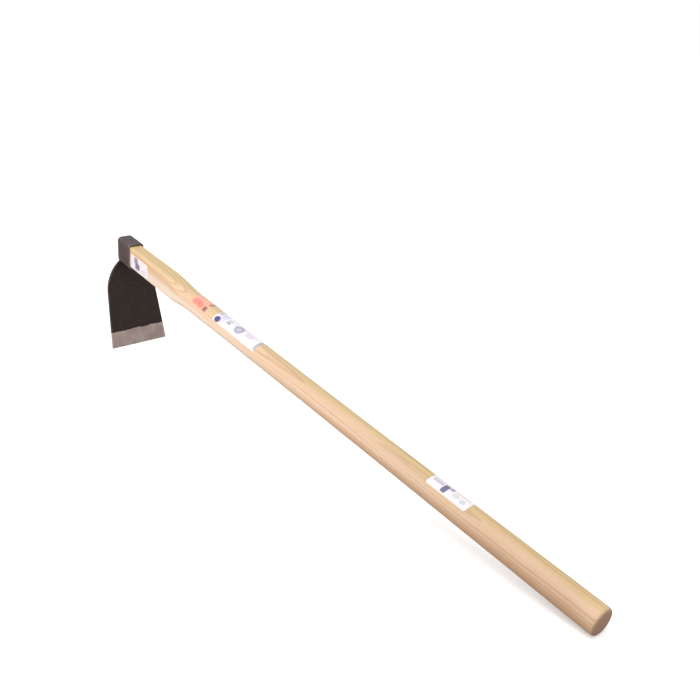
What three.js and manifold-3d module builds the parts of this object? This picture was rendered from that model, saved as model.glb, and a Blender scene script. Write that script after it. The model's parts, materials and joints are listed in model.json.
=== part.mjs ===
// A draw hoe: a forged blade with a ground cutting edge, a rectangular socket welded to its neck,
// and an ash handle driven through the socket and wedged from the far side.
//
// Millimetres. The pieces are drawn in the tool frame: +X runs along the handle from the socket's
// handle-side face to the butt, +Z points out of the top of the socket, and Y = 0 is the tool's
// plane of symmetry. The finished tool is then laid as it rests on flat ground, with its cutting
// edge and its butt touching Z = 0 and the origin under the middle of its bounding box.

import * as THREE from "three";
import { mergeVertices } from "three/addons/utils/BufferGeometryUtils.js";
import Module from "manifold-3d";

const wasm = await Module();
wasm.setup();

const { degToRad, lerp, smoothstep } = THREE.MathUtils;

// ---------------------------------------------------------------- driving dimensions
const FIT_GAP = 0.3; // left between two pieces that touch on the real tool

// Socket, a short rectangular ring that the handle passes through.
const SOCKET_DEPTH = 45;
const SOCKET_WIDTH = 29.4;
const SOCKET_HEIGHT = 47.8;
const SOCKET_CORNER = 7;
const SOCKET_CHAMFER = 1;

// Handle, measured from the socket's handle-side face.
const HANDLE_LENGTH = 1002;
const TENON_LENGTH = 48; // passes through the socket and stands a little proud of it
const TENON_HALF_WIDTH = 12.2;
const TENON_HALF_HEIGHT = 19.6;
const TENON_CORNER = 4;
const SWELL_HALF_WIDTH = 13.9; // the squared head is thickest where the scoop begins
const SWELL_TOP = 20.4;
const SWELL_BOTTOM = 19.5;
const SWELL_CORNER = 6.5;
const TOP_SCOOP = [130, 205]; // start and end of the scoop from the squared head to the round shaft
const BOTTOM_SCOOP = [146, 210];
const SHOULDER_SHAFT_RADIUS = 17.2;
const WAIST_RADIUS = 15.8;
const WAIST_X = 570;
const BUTT_RADIUS = 16.4;
const BUTT_ROUNDING = 4; // radius of the edge round the butt
const BUTT_ARC_STEPS = 3;
const CORNER_ARC_STEPS = 8; // facets in each rounded corner of the handle's section
const SCOOP_RING_STEP = 7; // distance between sections where the shape changes quickly
const SHAFT_RING_STEP = 75;

// Wedges that spread the tenon in the socket.
const WOOD_WEDGE = { length: 31, height: 33, headThickness: 4.4, tipThickness: 1.4 };
const STEEL_WEDGE = { length: 22, width: 18, headThickness: 4, tipThickness: 1.2 };
const WEDGE_STAND_OUT = 1; // the wedges' heads beyond the end of the tenon

// Blade, drawn in its own frame: +X towards the user, Y across, -Z down to the cutting edge.
const BLADE_TO_HANDLE = 74; // degrees between the blade's inner face and the handle
const NECK_X = -34.5; // where the blade's inner face meets the bottom of the socket
const BLADE_LENGTH = 153.5;
const EDGE_HALF_WIDTH = 53.8;
const SHOULDER_HALF_WIDTH = 46;
const SHOULDER_DROP = 50; // below the socket, where the rounded shoulder runs into the straight side
const SHOULDER_RADIUS = 75;
const NECK_RISE = 7; // the neck's horns stand this far up beside the socket
const NECK_THICKNESS = 6;
const SHOULDER_THICKNESS = 4.5;
const BEVEL_THICKNESS = 3.4;
const EDGE_THICKNESS = 0.7;
const EDGE_SET_BACK = 0.9; // the inner bevel takes the edge this far behind the inner face
const BEVEL_HEIGHT = 30;
const STEEL_HEIGHT = 34; // the laid cutting steel on the inner face, part of it under the coating
const SCARF_RISE = 8; // how much higher the laid steel reaches on the outer face

// Fillet welds between socket and blade.
const INNER_WELD_LEG = 6;
const OUTER_WELD_LEG = 3;
const WELD_HALF_LENGTH = 9;
const WELD_BULGE = 1.4; // the bead's face is pulled out to this share of its throat

// Stickers: from and to along the handle, then round it from its top line towards -Y.
const STICKER_THICKNESS = 0.25;
const STICKER_STEP_ALONG = 20;
const STICKER_STEP_ROUND = 2.5;
const STICKERS = {
  eye_label: { along: [5, 70], round: [20, 47], finish: "whitePaper" },
  red_label: { along: [221, 266], round: [-16, 16.5], finish: "redPaper" },
  long_label: { along: [289, 404], round: [-16, 17], finish: "whitePaper" },
  small_label: { along: [760, 822], round: [-11.5, 11], finish: "whitePaper" },
};

const FINISHES = {
  coatedSteel: { color: 0x382d2c, roughness: 0.6, metalness: 0.4 },
  socketSteel: { color: 0x64585c, roughness: 0.55, metalness: 0.6 },
  groundSteel: { color: 0x9b8c85, roughness: 0.4, metalness: 0.9 },
  weldMetal: { color: 0x453b3a, roughness: 0.7, metalness: 0.6 },
  ashWood: { color: 0xe6c39a, roughness: 0.55, metalness: 0 },
  whitePaper: { color: 0xf2f0f4, roughness: 0.5, metalness: 0 },
  redPaper: { color: 0xd8614a, roughness: 0.5, metalness: 0 },
};

// ---------------------------------------------------------------- solids and frames
// Turn an extrusion, drawn in its own X-Y plane, so that it is drawn in the tool's Y-Z or X-Z plane.
const DRAWN_IN_YZ = new THREE.Matrix4().makeBasis(
  new THREE.Vector3(0, 1, 0),
  new THREE.Vector3(0, 0, 1),
  new THREE.Vector3(1, 0, 0),
);
const DRAWN_IN_XZ = new THREE.Matrix4().makeBasis(
  new THREE.Vector3(1, 0, 0),
  new THREE.Vector3(0, 0, 1),
  new THREE.Vector3(0, -1, 0),
);

function toSolid(geometry) {
  const bare = geometry.clone();
  bare.deleteAttribute("normal");
  bare.deleteAttribute("uv");
  const merged = mergeVertices(bare, 1e-4);
  const vertProperties = merged.getAttribute("position").array;
  const triVerts = new Uint32Array(merged.index.array);
  return new wasm.Manifold(new wasm.Mesh({ numProp: 3, vertProperties, triVerts }));
}

function toGeometry(solid) {
  const mesh = solid.getMesh();
  const geometry = new THREE.BufferGeometry();
  geometry.setAttribute("position", new THREE.BufferAttribute(mesh.vertProperties, 3));
  geometry.setIndex(new THREE.BufferAttribute(mesh.triVerts, 1));
  geometry.computeVertexNormals();
  return geometry;
}

function polygon(points) {
  return new THREE.Shape(points.map(([x, y]) => new THREE.Vector2(x, y)));
}

// A plain extrusion of the given thickness, centred on the plane it was drawn in.
function slab(shape, thickness, curveSegments = 12) {
  const geometry = new THREE.ExtrudeGeometry(shape, {
    depth: thickness,
    bevelEnabled: false,
    curveSegments,
  });
  return geometry.translate(0, 0, -thickness / 2);
}

function roundedRectangle(halfWidth, halfHeight, corner) {
  const shape = new THREE.Shape();
  const across = halfWidth - corner;
  const up = halfHeight - corner;
  shape.absarc(across, up, corner, 0, Math.PI / 2);
  shape.absarc(-across, up, corner, Math.PI / 2, Math.PI);
  shape.absarc(-across, -up, corner, Math.PI, 1.5 * Math.PI);
  shape.absarc(across, -up, corner, 1.5 * Math.PI, 2 * Math.PI);
  shape.closePath();
  return shape;
}

// ---------------------------------------------------------------- socket
function socketGeometry() {
  const outline = roundedRectangle(SOCKET_WIDTH / 2, SOCKET_HEIGHT / 2, SOCKET_CORNER);
  outline.holes.push(
    roundedRectangle(
      TENON_HALF_WIDTH + FIT_GAP,
      TENON_HALF_HEIGHT + FIT_GAP,
      TENON_CORNER + FIT_GAP,
    ),
  );
  const ring = new THREE.ExtrudeGeometry(outline, {
    depth: SOCKET_DEPTH - 2 * SOCKET_CHAMFER,
    bevelThickness: SOCKET_CHAMFER,
    bevelSize: SOCKET_CHAMFER,
    bevelOffset: -SOCKET_CHAMFER,
    bevelSegments: 1,
    curveSegments: 6,
  });
  ring.translate(0, 0, SOCKET_CHAMFER - SOCKET_DEPTH);
  return ring.applyMatrix4(DRAWN_IN_YZ);
}

// The room the socket takes out of the blade's neck.
function socketClearance() {
  const outline = roundedRectangle(
    SOCKET_WIDTH / 2 + FIT_GAP,
    SOCKET_HEIGHT / 2 + FIT_GAP,
    SOCKET_CORNER + FIT_GAP,
  );
  const block = slab(outline, 3 * SOCKET_DEPTH, 6);
  return block.applyMatrix4(DRAWN_IN_YZ);
}

// ---------------------------------------------------------------- handle
// The round shaft is waisted: thickest below the scoop, thinnest in the middle, thicker at the butt.
function shaftRadius(x) {
  const buttSide = x > WAIST_X;
  const endX = buttSide ? HANDLE_LENGTH : TOP_SCOOP[1];
  const endRadius = buttSide ? BUTT_RADIUS : SHOULDER_SHAFT_RADIUS;
  const share = (x - WAIST_X) / (endX - WAIST_X);
  return WAIST_RADIUS + (endRadius - WAIST_RADIUS) * share * share;
}

// The handle's section at x: a rounded rectangle that turns into a circle through the scoop.
function handleSection(x) {
  const swell = Math.max(0, x / TOP_SCOOP[0]);
  const radius = shaftRadius(Math.max(x, TOP_SCOOP[1]));
  const topScoop = smoothstep(x, ...TOP_SCOOP);
  const bottomScoop = smoothstep(x, ...BOTTOM_SCOOP);
  const sideScoop = (topScoop + bottomScoop) / 2;
  const top = lerp(lerp(TENON_HALF_HEIGHT, SWELL_TOP, swell), radius, topScoop);
  const bottom = lerp(lerp(TENON_HALF_HEIGHT, SWELL_BOTTOM, swell), radius, bottomScoop);
  const halfWidth = lerp(lerp(TENON_HALF_WIDTH, SWELL_HALF_WIDTH, swell), radius, sideScoop);
  const corner = lerp(lerp(TENON_CORNER, SWELL_CORNER, swell), radius, sideScoop);
  const halfHeight = (top + bottom) / 2;
  const lift = (top - bottom) / 2;
  return { halfWidth, halfHeight, lift, corner: Math.min(corner, halfWidth, halfHeight) };
}

const BUTT_START_X = HANDLE_LENGTH - BUTT_ROUNDING;

// Where along the handle its sections are drawn: close together where its shape changes quickly.
function ringPositions() {
  const positions = [-TENON_LENGTH, 0];
  for (let x = TOP_SCOOP[0]; x < BOTTOM_SCOOP[1]; x += SCOOP_RING_STEP) {
    positions.push(x);
  }
  for (let x = BOTTOM_SCOOP[1]; x < HANDLE_LENGTH - SHAFT_RING_STEP / 2; x += SHAFT_RING_STEP) {
    positions.push(x);
  }
  for (let i = 0; i <= BUTT_ARC_STEPS; i += 1) {
    const reach = BUTT_ROUNDING * Math.sin((i / BUTT_ARC_STEPS) * (Math.PI / 2));
    positions.push(BUTT_START_X + reach);
  }
  return positions;
}

// How far the handle's skin has turned in at x, past the start of the rounding round the butt.
function buttInset(x) {
  const reach = Math.max(0, x - BUTT_START_X);
  return BUTT_ROUNDING - Math.sqrt(Math.max(0, BUTT_ROUNDING ** 2 - reach ** 2));
}

// A cylinder whose rings are moved onto the handle's sections, one corner arc per quarter turn.
function handleGeometry() {
  const perQuarter = CORNER_ARC_STEPS + 1;
  const around = 4 * perQuarter;
  const rings = ringPositions();
  const geometry = new THREE.CylinderGeometry(1, 1, 1, around, rings.length - 1);
  geometry.rotateZ(-Math.PI / 2);
  const position = geometry.getAttribute("position");
  for (let i = 0; i < position.count; i += 1) {
    const x = rings[Math.round((position.getX(i) + 0.5) * (rings.length - 1))];
    const turn = Math.atan2(position.getZ(i), position.getY(i)) / (2 * Math.PI);
    const step = ((Math.round(turn * around) % around) + around) % around;
    const onRim = Math.hypot(position.getY(i), position.getZ(i)) > 0.5 ? 1 : 0;
    const quarter = Math.floor(step / perQuarter);
    const angle = (Math.PI / 2) * (quarter + (step % perQuarter) / CORNER_ARC_STEPS);
    const section = handleSection(x);
    const acrossSign = quarter === 1 || quarter === 2 ? -1 : 1;
    const upSign = quarter < 2 ? 1 : -1;
    const reach = section.corner - buttInset(x);
    const y = acrossSign * (section.halfWidth - section.corner) + reach * Math.cos(angle);
    const z = upSign * (section.halfHeight - section.corner) + reach * Math.sin(angle);
    position.setXYZ(i, x, onRim * y, section.lift + onRim * z);
  }
  return geometry;
}

// ---------------------------------------------------------------- wedges
const WEDGE_HEAD_X = -TENON_LENGTH - WEDGE_STAND_OUT;

// A wedge's long side: its head is at WEDGE_HEAD_X and its tip points along the handle.
function wedgeOutline({ length, headThickness, tipThickness }, gap) {
  return polygon([
    [WEDGE_HEAD_X - 4 * gap, headThickness / 2 + gap],
    [WEDGE_HEAD_X - 4 * gap, -headThickness / 2 - gap],
    [WEDGE_HEAD_X + length + gap, -tipThickness / 2 - gap],
    [WEDGE_HEAD_X + length + gap, tipThickness / 2 + gap],
  ]);
}

function woodWedge(gap = 0) {
  const height = gap > 0 ? 3 * WOOD_WEDGE.height : WOOD_WEDGE.height; // a saw kerf runs right across
  return toSolid(slab(wedgeOutline(WOOD_WEDGE, gap), height));
}

function steelWedge(gap = 0) {
  const width = STEEL_WEDGE.width + 2 * gap;
  return toSolid(slab(wedgeOutline(STEEL_WEDGE, gap), width).applyMatrix4(DRAWN_IN_XZ));
}

// ---------------------------------------------------------------- blade
// The blade's frame in the tool frame.
const bladeFrame = new THREE.Object3D();
bladeFrame.position.set(NECK_X, 0, -SOCKET_HEIGHT / 2);
bladeFrame.rotation.y = degToRad(BLADE_TO_HANDLE - 90);
bladeFrame.updateMatrix();

function bladeOutline() {
  const flare = Math.atan2(EDGE_HALF_WIDTH - SHOULDER_HALF_WIDTH, BLADE_LENGTH - SHOULDER_DROP);
  const centreY = SHOULDER_HALF_WIDTH - SHOULDER_RADIUS * Math.cos(flare);
  const centreZ = -SHOULDER_DROP - SHOULDER_RADIUS * Math.sin(flare);
  const hornAngle = Math.asin((NECK_RISE - centreZ) / SHOULDER_RADIUS);
  const shape = new THREE.Shape();
  shape.absarc(centreY, centreZ, SHOULDER_RADIUS, hornAngle, flare, true);
  shape.lineTo(EDGE_HALF_WIDTH, -BLADE_LENGTH);
  shape.lineTo(-EDGE_HALF_WIDTH, -BLADE_LENGTH);
  shape.absarc(-centreY, centreZ, SHOULDER_RADIUS, Math.PI - flare, Math.PI - hornAngle, true);
  shape.closePath();
  return shape;
}

function bladeSideProfile() {
  const edgeBack = -EDGE_SET_BACK - EDGE_THICKNESS;
  return polygon([
    [0, 2 * NECK_RISE],
    [-NECK_THICKNESS, 2 * NECK_RISE],
    [-NECK_THICKNESS, 0],
    [-SHOULDER_THICKNESS, -SHOULDER_DROP],
    [-BEVEL_THICKNESS, -BLADE_LENGTH + BEVEL_HEIGHT],
    [edgeBack, -BLADE_LENGTH],
    [-EDGE_SET_BACK, -BLADE_LENGTH],
    [0, -BLADE_LENGTH + BEVEL_HEIGHT],
  ]);
}

// Everything below the scarf, where the cutting steel is laid on, with the scarf lifted by lift.
const SCARF_SLOPE = SCARF_RISE / BEVEL_THICKNESS;
const SCARF_GAP_LIFT = FIT_GAP * Math.hypot(1, SCARF_SLOPE); // opens FIT_GAP square to the scarf

function belowScarf(lift) {
  const scarfZ = (x) => -BLADE_LENGTH + STEEL_HEIGHT + lift - SCARF_SLOPE * x;
  const shape = polygon([
    [1, scarfZ(1)],
    [1, -2 * BLADE_LENGTH],
    [-NECK_THICKNESS, -2 * BLADE_LENGTH],
    [-NECK_THICKNESS, scarfZ(-NECK_THICKNESS)],
  ]);
  return toSolid(slab(shape, 4 * EDGE_HALF_WIDTH).applyMatrix4(DRAWN_IN_XZ));
}

function bladeForging() {
  const plate = toSolid(slab(bladeOutline(), 4 * NECK_THICKNESS).applyMatrix4(DRAWN_IN_YZ));
  const side = toSolid(slab(bladeSideProfile(), 4 * EDGE_HALF_WIDTH).applyMatrix4(DRAWN_IN_XZ));
  const intoBladeFrame = bladeFrame.matrix.clone().invert();
  const room = toSolid(socketClearance().applyMatrix4(intoBladeFrame));
  return plate.intersect(side).subtract(room);
}

// ---------------------------------------------------------------- welds
// A fillet bead in the corner between the socket's underside and a face of the blade's neck.
// faceX is that face in the blade's frame, and way is +1 towards the user or -1 away from the user.
function weldGeometry(faceX, way, leg) {
  const lean = degToRad(BLADE_TO_HANDLE);
  const face = new THREE.Vector3(faceX, 0, 0).applyMatrix4(bladeFrame.matrix);
  const underside = -SOCKET_HEIGHT / 2;
  const meetX = face.x + (face.z - underside) / Math.tan(lean);
  const clearX = (way * FIT_GAP * (1 + way * Math.cos(lean))) / Math.sin(lean);
  const corner = new THREE.Vector2(meetX + clearX, underside - FIT_GAP);
  const onSocket = new THREE.Vector2(corner.x + way * leg, corner.y);
  const onBlade = new THREE.Vector2(Math.cos(lean), -Math.sin(lean)).multiplyScalar(leg).add(corner);
  const belly = onSocket.clone().add(onBlade).multiplyScalar(0.5).sub(corner);
  belly.multiplyScalar(WELD_BULGE).add(corner);
  const shape = new THREE.Shape();
  shape.moveTo(corner.x, corner.y);
  shape.lineTo(onBlade.x, onBlade.y);
  shape.quadraticCurveTo(belly.x, belly.y, onSocket.x, onSocket.y);
  shape.closePath();
  return slab(shape, 2 * WELD_HALF_LENGTH, 5).applyMatrix4(DRAWN_IN_XZ);
}

// ---------------------------------------------------------------- stickers
// The handle's outline in Y-Z at x, run from its top line towards -Y and all the way round.
function sectionPath(x) {
  const { halfWidth, halfHeight, corner } = handleSection(x);
  const across = halfWidth - corner;
  const up = halfHeight - corner;
  const path = new THREE.Path();
  path.moveTo(0, halfHeight);
  path.lineTo(-across, halfHeight);
  path.absarc(-across, up, corner, Math.PI / 2, Math.PI);
  path.absarc(-across, -up, corner, Math.PI, 1.5 * Math.PI);
  path.absarc(across, -up, corner, 1.5 * Math.PI, 2 * Math.PI);
  path.absarc(across, up, corner, 0, Math.PI / 2);
  path.closePath();
  return path;
}

// A thin shell that follows the handle's surface over the sticker's length and width.
function stickerGeometry({ along, round }) {
  const alongSteps = Math.ceil((along[1] - along[0]) / STICKER_STEP_ALONG);
  const roundSteps = Math.ceil((round[1] - round[0]) / STICKER_STEP_ROUND);
  const geometry = new THREE.BoxGeometry(1, 1, 1, alongSteps, roundSteps, 1);
  const position = geometry.getAttribute("position");
  for (let i = 0; i < position.count; i += 1) {
    const x = lerp(along[0], along[1], position.getX(i) + 0.5);
    const arc = lerp(round[1], round[0], position.getY(i) + 0.5);
    const height = FIT_GAP + STICKER_THICKNESS * (position.getZ(i) + 0.5);
    const path = sectionPath(x);
    const share = (arc / path.getLength() + 1) % 1;
    const point = path.getPoint(share);
    const tangent = path.getTangent(share);
    const lift = handleSection(x).lift;
    position.setXYZ(i, x, point.x + tangent.y * height, lift + point.y - tangent.x * height);
  }
  return geometry;
}

// ---------------------------------------------------------------- assembly
function named(name, geometry, finish) {
  const mesh = new THREE.Mesh(geometry, new THREE.MeshStandardMaterial(FINISHES[finish]));
  mesh.name = name;
  return mesh;
}

const tool = new THREE.Group();

const kerfedHandle = toSolid(handleGeometry())
  .subtract(woodWedge(FIT_GAP))
  .subtract(steelWedge(FIT_GAP));
const splitWoodWedge = woodWedge().subtract(steelWedge(FIT_GAP));
tool.add(named("eye_socket", socketGeometry(), "socketSteel"));
tool.add(named("handle", toGeometry(kerfedHandle), "ashWood"));
tool.add(named("wood_wedge", toGeometry(splitWoodWedge), "ashWood"));
tool.add(named("steel_wedge", toGeometry(steelWedge()), "groundSteel"));
tool.add(named("inner_weld", weldGeometry(0, 1, INNER_WELD_LEG), "weldMetal"));
tool.add(named("outer_weld", weldGeometry(-NECK_THICKNESS, -1, OUTER_WELD_LEG), "weldMetal"));

const forging = bladeForging();
const softIron = forging.subtract(belowScarf(SCARF_GAP_LIFT));
const hardSteel = forging.intersect(belowScarf(0));
const blade = new THREE.Group();
blade.position.copy(bladeFrame.position);
blade.rotation.copy(bladeFrame.rotation);
blade.add(named("blade_body", toGeometry(softIron), "coatedSteel"));
blade.add(named("cutting_steel", toGeometry(hardSteel), "groundSteel"));
tool.add(blade);

for (const [name, sticker] of Object.entries(STICKERS)) {
  tool.add(named(name, stickerGeometry(sticker), sticker.finish));
}

// ---------------------------------------------------------------- resting on the ground
// The tilt that brings the cutting edge and the underside of the butt to one level.
const edge = new THREE.Vector3(-EDGE_SET_BACK - EDGE_THICKNESS, 0, -BLADE_LENGTH);
edge.applyMatrix4(bladeFrame.matrix);
const buttUndersideZ = -shaftRadius(BUTT_START_X);
tool.rotation.y = Math.atan2(buttUndersideZ - edge.z, BUTT_START_X - edge.x);

const hoe = new THREE.Group();
hoe.add(tool);
const box = new THREE.Box3().setFromObject(hoe, true);
tool.position.set(-(box.min.x + box.max.x) / 2, 0, -box.min.z);

export default hoe;
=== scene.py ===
import json
from math import atan2, ceil, cos, pi, radians, sin, sqrt

import bmesh
import bpy
from mathutils import Matrix, Vector, noise


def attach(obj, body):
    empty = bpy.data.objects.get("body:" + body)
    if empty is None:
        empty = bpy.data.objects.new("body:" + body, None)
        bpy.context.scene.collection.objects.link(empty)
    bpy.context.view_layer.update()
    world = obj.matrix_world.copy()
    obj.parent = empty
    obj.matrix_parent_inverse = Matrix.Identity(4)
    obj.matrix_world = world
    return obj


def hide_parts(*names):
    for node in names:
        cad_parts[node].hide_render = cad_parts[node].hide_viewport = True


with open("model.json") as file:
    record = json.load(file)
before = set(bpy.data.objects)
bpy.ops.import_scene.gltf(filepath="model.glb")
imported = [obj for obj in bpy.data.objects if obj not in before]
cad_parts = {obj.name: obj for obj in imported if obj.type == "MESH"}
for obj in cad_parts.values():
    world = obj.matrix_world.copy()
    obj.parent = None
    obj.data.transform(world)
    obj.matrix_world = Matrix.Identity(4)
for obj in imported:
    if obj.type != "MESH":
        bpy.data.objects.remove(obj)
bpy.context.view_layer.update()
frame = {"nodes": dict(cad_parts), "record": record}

# The looks of a draw hoe: a coated, forged blade with a ground edge, the socket it hangs from, and
# an ash handle wedged into the socket and carrying four stickers.
#
# Every piece is drawn in millimetres in the tool frame, the frame of the design: +X runs along the
# handle from the socket's near face to the butt, +Z points out of the socket's top, and Y = 0 is
# the plane of symmetry. TOOL turns that into the row frame, in metres.

MM = 0.001

# ---------------------------------------------------------------- the tool frame
MOUNTS = {mount["name"]: mount for mount in frame["record"]["mounts"]}
ALONG = Vector(MOUNTS["butt_end"]["axis"]).normalized()
UP = Vector(MOUNTS["socket_top"]["axis"]).normalized()
TURN = Matrix((ALONG, UP.cross(ALONG), UP)).transposed()


def extent(node, space):
    """Lowest and highest corners of a CAD node in the given space, a matrix from there to the row."""
    into = space.inverted()
    points = [into @ vertex.co for vertex in frame["nodes"][node].data.vertices]
    low = Vector(min(point[axis] for point in points) for axis in range(3))
    high = Vector(max(point[axis] for point in points) for axis in range(3))
    return low, high


def tool_frame():
    turned = TURN.to_4x4() @ Matrix.Scale(MM, 4)
    low, high = extent("eye_socket", turned)
    return turned @ Matrix.Translation((high.x, 0, (low.z + high.z) / 2))


TOOL = tool_frame()

# ---------------------------------------------------------------- sizes, mm
SOCKET_LOW, SOCKET_HIGH = extent("eye_socket", TOOL)
SOCKET_DEPTH = -SOCKET_LOW.x
SOCKET_HALF_WIDTH = SOCKET_HIGH.y
SOCKET_HALF_HEIGHT = SOCKET_HIGH.z
SOCKET_CORNER = 7
SOCKET_EDGE = 1.3  # rounding of the socket's two end faces outside
SOCKET_MOUTH_EDGE = 0.8  # and inside

HANDLE_LOW, HANDLE_HIGH = extent("handle", TOOL)
TENON_END = HANDLE_LOW.x
BUTT_END = HANDLE_HIGH.x
TENON_HALF_WIDTH = 12.2
TENON_HALF_HEIGHT = 19.6
TENON_CORNER = 4
SWELL_HALF_WIDTH = 13.9
SWELL_TOP = 20.4
SWELL_BOTTOM = 19.5
SWELL_CORNER = 6.5
TOP_SCOOP = (130, 205)  # from the squared head to the round shaft
BOTTOM_SCOOP = (146, 210)
SHOULDER_SHAFT_RADIUS = 17.2
WAIST_RADIUS = 15.8
WAIST_X = 570
BUTT_RADIUS = 16.4
BUTT_ROUNDING = 4
TENON_ROUNDING = 0.7

WOOD_WEDGE = {"length": 31, "width": 33, "head": 4.4, "tip": 1.4}
STEEL_WEDGE = {"length": 22, "width": 18, "head": 4.0, "tip": 1.2}
WEDGE_HEAD_X = extent("wood_wedge", TOOL)[0].x

BLADE_TO_HANDLE = 74  # degrees
NECK_X = -34.5
NECK_TOP = 5.6  # how far the blade is drawn up into the socket before it is cut to fit
BLADE = (
    TOOL
    @ Matrix.Translation((NECK_X, 0, -SOCKET_HALF_HEIGHT))
    @ Matrix.Rotation(radians(BLADE_TO_HANDLE - 90), 4, "Y")
)
EDGE_LOW, EDGE_HIGH = extent("cutting_steel", BLADE)
BLADE_LENGTH = -EDGE_LOW.z
EDGE_HALF_WIDTH = EDGE_HIGH.y
SHOULDER_HALF_WIDTH = 46
SHOULDER_DROP = 50
SHOULDER_RADIUS = 75
NECK_THICKNESS = 6
SHOULDER_THICKNESS = 4.5
BEVEL_THICKNESS = 3.4
EDGE_THICKNESS = 0.7
EDGE_SET_BACK = 0.9
BEVEL_HEIGHT = 30
STEEL_HEIGHT = 34
SCARF_RISE = 8

# Waves of the surfaces: size from wave to wave, amount, and a seed that sets where they fall.
WOOD_WAVES = ((38, 0.12, 3), (9, 0.03, 5))
SOCKET_DENTS = ((14, 0.16, 11), (5, 0.05, 13))
BLADE_DENTS = ((26, 0.22, 17), (7, 0.05, 19))

# Points round each piece's section.
HANDLE_POINTS_ROUND = 128
WEDGE_POINTS_ROUND = 64
SOCKET_POINTS_ROUND = 160
NECK_CUT_POINTS_ROUND = 120
BLADE_STEPS_ACROSS = 60
BLADE_CORNER_POINTS = 5
BLADE_CORNER_STEP = 18  # degrees

STICKERS = {  # from and to round the handle, from its top line towards -Y
    "eye_label": (20, 47),
    "red_label": (-16, 16.5),
    "long_label": (-16, 17),
    "small_label": (-11.5, 11),
}
STICKER_THICKNESS = 0.14
STICKER_CORNER = 2.5
STICKER_CURL = 0.18  # how far the corners lift
STICKER_CURL_LENGTH = 6


# ---------------------------------------------------------------- small helpers
def lerp(start, end, share):
    return start + (end - start) * share


def smoothstep(value, start, end):
    share = min(1, max(0, (value - start) / (end - start)))
    return share * share * (3 - 2 * share)


def steps(start, end, longest):
    """Evenly spaced numbers from start to end, no further apart than longest."""
    count = max(1, ceil(abs(end - start) / longest))
    return [lerp(start, end, i / count) for i in range(count + 1)]


def wander(point, size, amount, seed):
    """A smooth random number between about -amount and amount that changes over size millimetres."""
    return amount * noise.noise(Vector(point) / size + Vector((seed, seed, seed)))


def unevenness(point, waves):
    """How far a surface stands out at a point, as the sum of its waves: (size, amount, seed)."""
    return sum(wander(point, *wave) for wave in waves)


# ---------------------------------------------------------------- mesh building
SAME_PLACE = 0.002  # points closer than this are one


def loft(loops):
    """Vertices and faces of a closed skin through loops of equal length, with flat ends."""
    count = len(loops[0])
    vertices = [point for loop in loops for point in loop]
    faces = [tuple(range(count)), tuple(range(len(vertices) - count, len(vertices)))]
    for i in range(len(loops) - 1):
        for j in range(count):
            k = (j + 1) % count
            low, high = i * count, (i + 1) * count
            faces.append((low + j, low + k, high + k, high + j))
    return vertices, faces


def ring_skin(loops):
    """Vertices and faces of a closed skin through loops that come back to the first one."""
    vertices, faces = loft(loops)
    count = len(loops[0])
    last = len(vertices) - count
    joined = [(last + j, last + (j + 1) % count, (j + 1) % count, j) for j in range(count)]
    return vertices, faces[2:] + joined


def shell(upper, lower):
    """Vertices and faces of a thin closed sheet between two grids of points, given as rows."""
    rows, columns = len(upper), len(upper[0])
    under = rows * columns
    vertices = [point for grid in (upper, lower) for row in grid for point in row]
    faces = []
    for i in range(rows - 1):
        for j in range(columns - 1):
            corner = i * columns + j
            quad = (corner, corner + 1, corner + columns + 1, corner + columns)
            faces.append(quad)
            faces.append(tuple(index + under for index in quad[::-1]))
    rim = list(range(columns))
    rim += [i * columns + columns - 1 for i in range(1, rows)]
    rim += [(rows - 1) * columns + j for j in range(columns - 2, -1, -1)]
    rim += [i * columns for i in range(rows - 2, 0, -1)]
    for first, second in zip(rim, rim[1:] + rim[:1]):
        faces.append((second, first, first + under, second + under))
    return vertices, faces


def edge_sharpness(mesh):
    """How strongly the skin bends outwards at each vertex: 0 on flats, about 0.1 along edges."""
    bends = [0.0] * len(mesh.vertices)
    counts = [0] * len(mesh.vertices)
    for edge in mesh.edges:
        first, second = (mesh.vertices[i] for i in edge.vertices)
        way = (second.co - first.co).normalized()
        bends[first.index] -= way.dot(first.normal)
        bends[second.index] += way.dot(second.normal)
        counts[first.index] += 1
        counts[second.index] += 1
    return [max(0, bend / max(1, count)) for bend, count in zip(bends, counts)]


def join_doubles(mesh):
    """Makes one vertex of those that lie on one another, and turns every face outwards."""
    work = bmesh.new()
    work.from_mesh(mesh)
    bmesh.ops.remove_doubles(work, verts=work.verts, dist=SAME_PLACE * MM)
    bmesh.ops.recalc_face_normals(work, faces=work.faces)
    work.to_mesh(mesh)
    work.free()


def make_mesh(name, skin, space):
    """An object whose mesh is the skin, taken from its own space into the row frame."""
    vertices, faces = skin
    mesh = bpy.data.meshes.new(name)
    mesh.from_pydata([space @ Vector(vertex) for vertex in vertices], [], faces)
    join_doubles(mesh)
    edges = mesh.attributes.new("edges", "FLOAT", "POINT")
    edges.data.foreach_set("value", edge_sharpness(mesh))
    thing = bpy.data.objects.new(name, mesh)
    bpy.context.scene.collection.objects.link(thing)
    return thing


def carve(thing, *cutters):
    """Cuts the cutters out of the thing and deletes them."""
    for cutter in cutters:
        cut = thing.modifiers.new("cut", "BOOLEAN")
        cut.operation = "DIFFERENCE"
        cut.solver = "EXACT"
        cut.object = cutter
    graph = bpy.context.evaluated_depsgraph_get()
    carved = bpy.data.meshes.new_from_object(thing.evaluated_get(graph), depsgraph=graph)
    thing.modifiers.clear()
    join_doubles(carved)
    thing.data = carved
    for cutter in cutters:
        bpy.data.objects.remove(cutter)


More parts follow.
